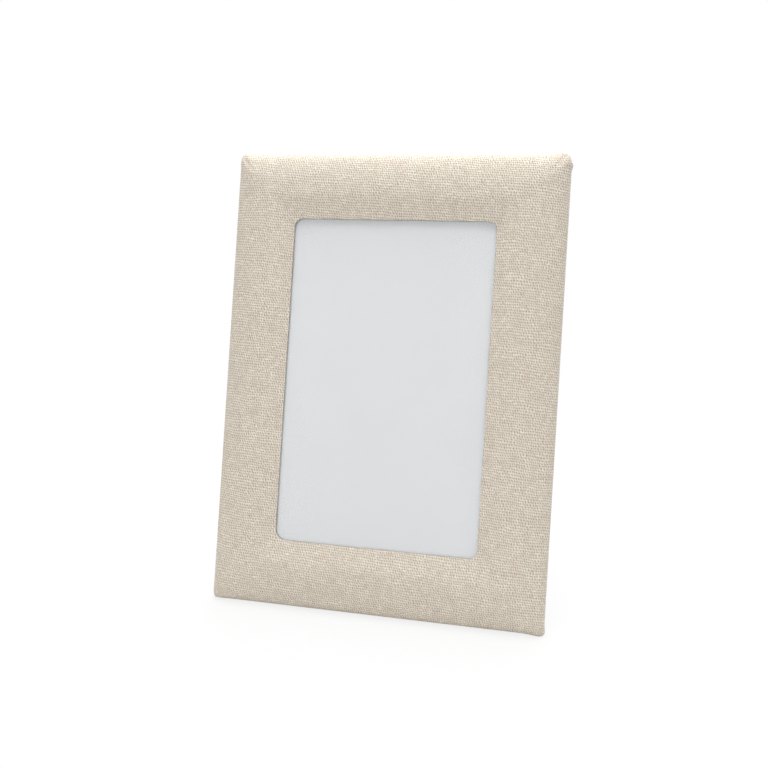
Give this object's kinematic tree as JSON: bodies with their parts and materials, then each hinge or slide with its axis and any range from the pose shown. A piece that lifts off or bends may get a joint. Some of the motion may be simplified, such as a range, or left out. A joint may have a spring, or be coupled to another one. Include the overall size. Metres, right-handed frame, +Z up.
{
  "type": "picture frame",
  "caption": "Upright table photo frame with a padded, linen-covered surround, glazed window, removable back panel held by turn buttons, and a hinged easel strut on a stay ribbon.",
  "frame": {"origin": "middle of the footprint, on the surface that the frame stands on", "axes": "+Z up; the picture faces -Y; +X to the viewer's right; the frame leans back towards +Y and the strut opens towards +Y"},
  "size_m": [0.15, 0.0696, 0.1972],
  "materials": {
    "linen": "coarse natural linen, plain weave, matte",
    "foam": "soft polyurethane foam",
    "grey_board": "pressed grey board",
    "softwood": "planed softwood",
    "facing_paper": "dark matte paper",
    "clear_glass": "clear, polished",
    "white_paper": "smooth matte paper, bare",
    "flocked_board": "dark short-pile flock on board",
    "steel": "bright zinc-plated steel",
    "satin_ribbon": "dark satin weave"
  },
  "bodies": {
    "frame": {"linen_cover": "linen", "foam_pad": "foam", "core_board": "grey_board", "rebate_strip_bottom": "softwood", "rebate_strip_top": "softwood", "rebate_strip_left": "softwood", "rebate_strip_right": "softwood", "rear_facing": "facing_paper", "glass_pane": "clear_glass", "picture_insert": "white_paper", "backing_card": "grey_board", "back_panel": "flocked_board", "turn_screw_lower_left": "steel", "turn_screw_lower_right": "steel", "turn_screw_upper_left": "steel", "turn_screw_upper_right": "steel", "hinge_leaf_panel": "steel", "hinge_pin": "steel", "hinge_rivet_panel_left": "steel", "hinge_rivet_panel_right": "steel", "stay_ribbon": "satin_ribbon", "ribbon_rivet_panel": "steel"},
    "strut": {"strut_board": "flocked_board", "hinge_leaf_strut": "steel", "hinge_rivet_strut_left": "steel", "hinge_rivet_strut_right": "steel", "ribbon_rivet_strut": "steel"},
    "button_lower_left": {"turn_button_lower_left": "steel"},
    "button_lower_right": {"turn_button_lower_right": "steel"},
    "button_upper_left": {"turn_button_upper_left": "steel"},
    "button_upper_right": {"turn_button_upper_right": "steel"}
  },
  "joints": [
    {"name": "strut_hinge", "type": "hinge", "parent": "frame", "child": "strut", "pos_m": [0, 0.00783, 0.12974], "axis": [-1, 0, 0], "range_deg": [0, 23], "deforming": ["stay_ribbon"]},
    {"name": "turn_lower_left", "type": "hinge", "parent": "frame", "child": "button_lower_left", "pos_m": [-0.0595, -0.01446, 0.04924], "axis": [0, 0.9703, -0.2419], "continuous": true},
    {"name": "turn_lower_right", "type": "hinge", "parent": "frame", "child": "button_lower_right", "pos_m": [0.0595, -0.01446, 0.04924], "axis": [0, 0.9703, -0.2419], "continuous": true},
    {"name": "turn_upper_left", "type": "hinge", "parent": "frame", "child": "button_upper_left", "pos_m": [-0.0595, 0.00973, 0.14627], "axis": [0, 0.9703, -0.2419], "continuous": true},
    {"name": "turn_upper_right", "type": "hinge", "parent": "frame", "child": "button_upper_right", "pos_m": [0.0595, 0.00973, 0.14627], "axis": [0, 0.9703, -0.2419], "continuous": true}
  ]
}
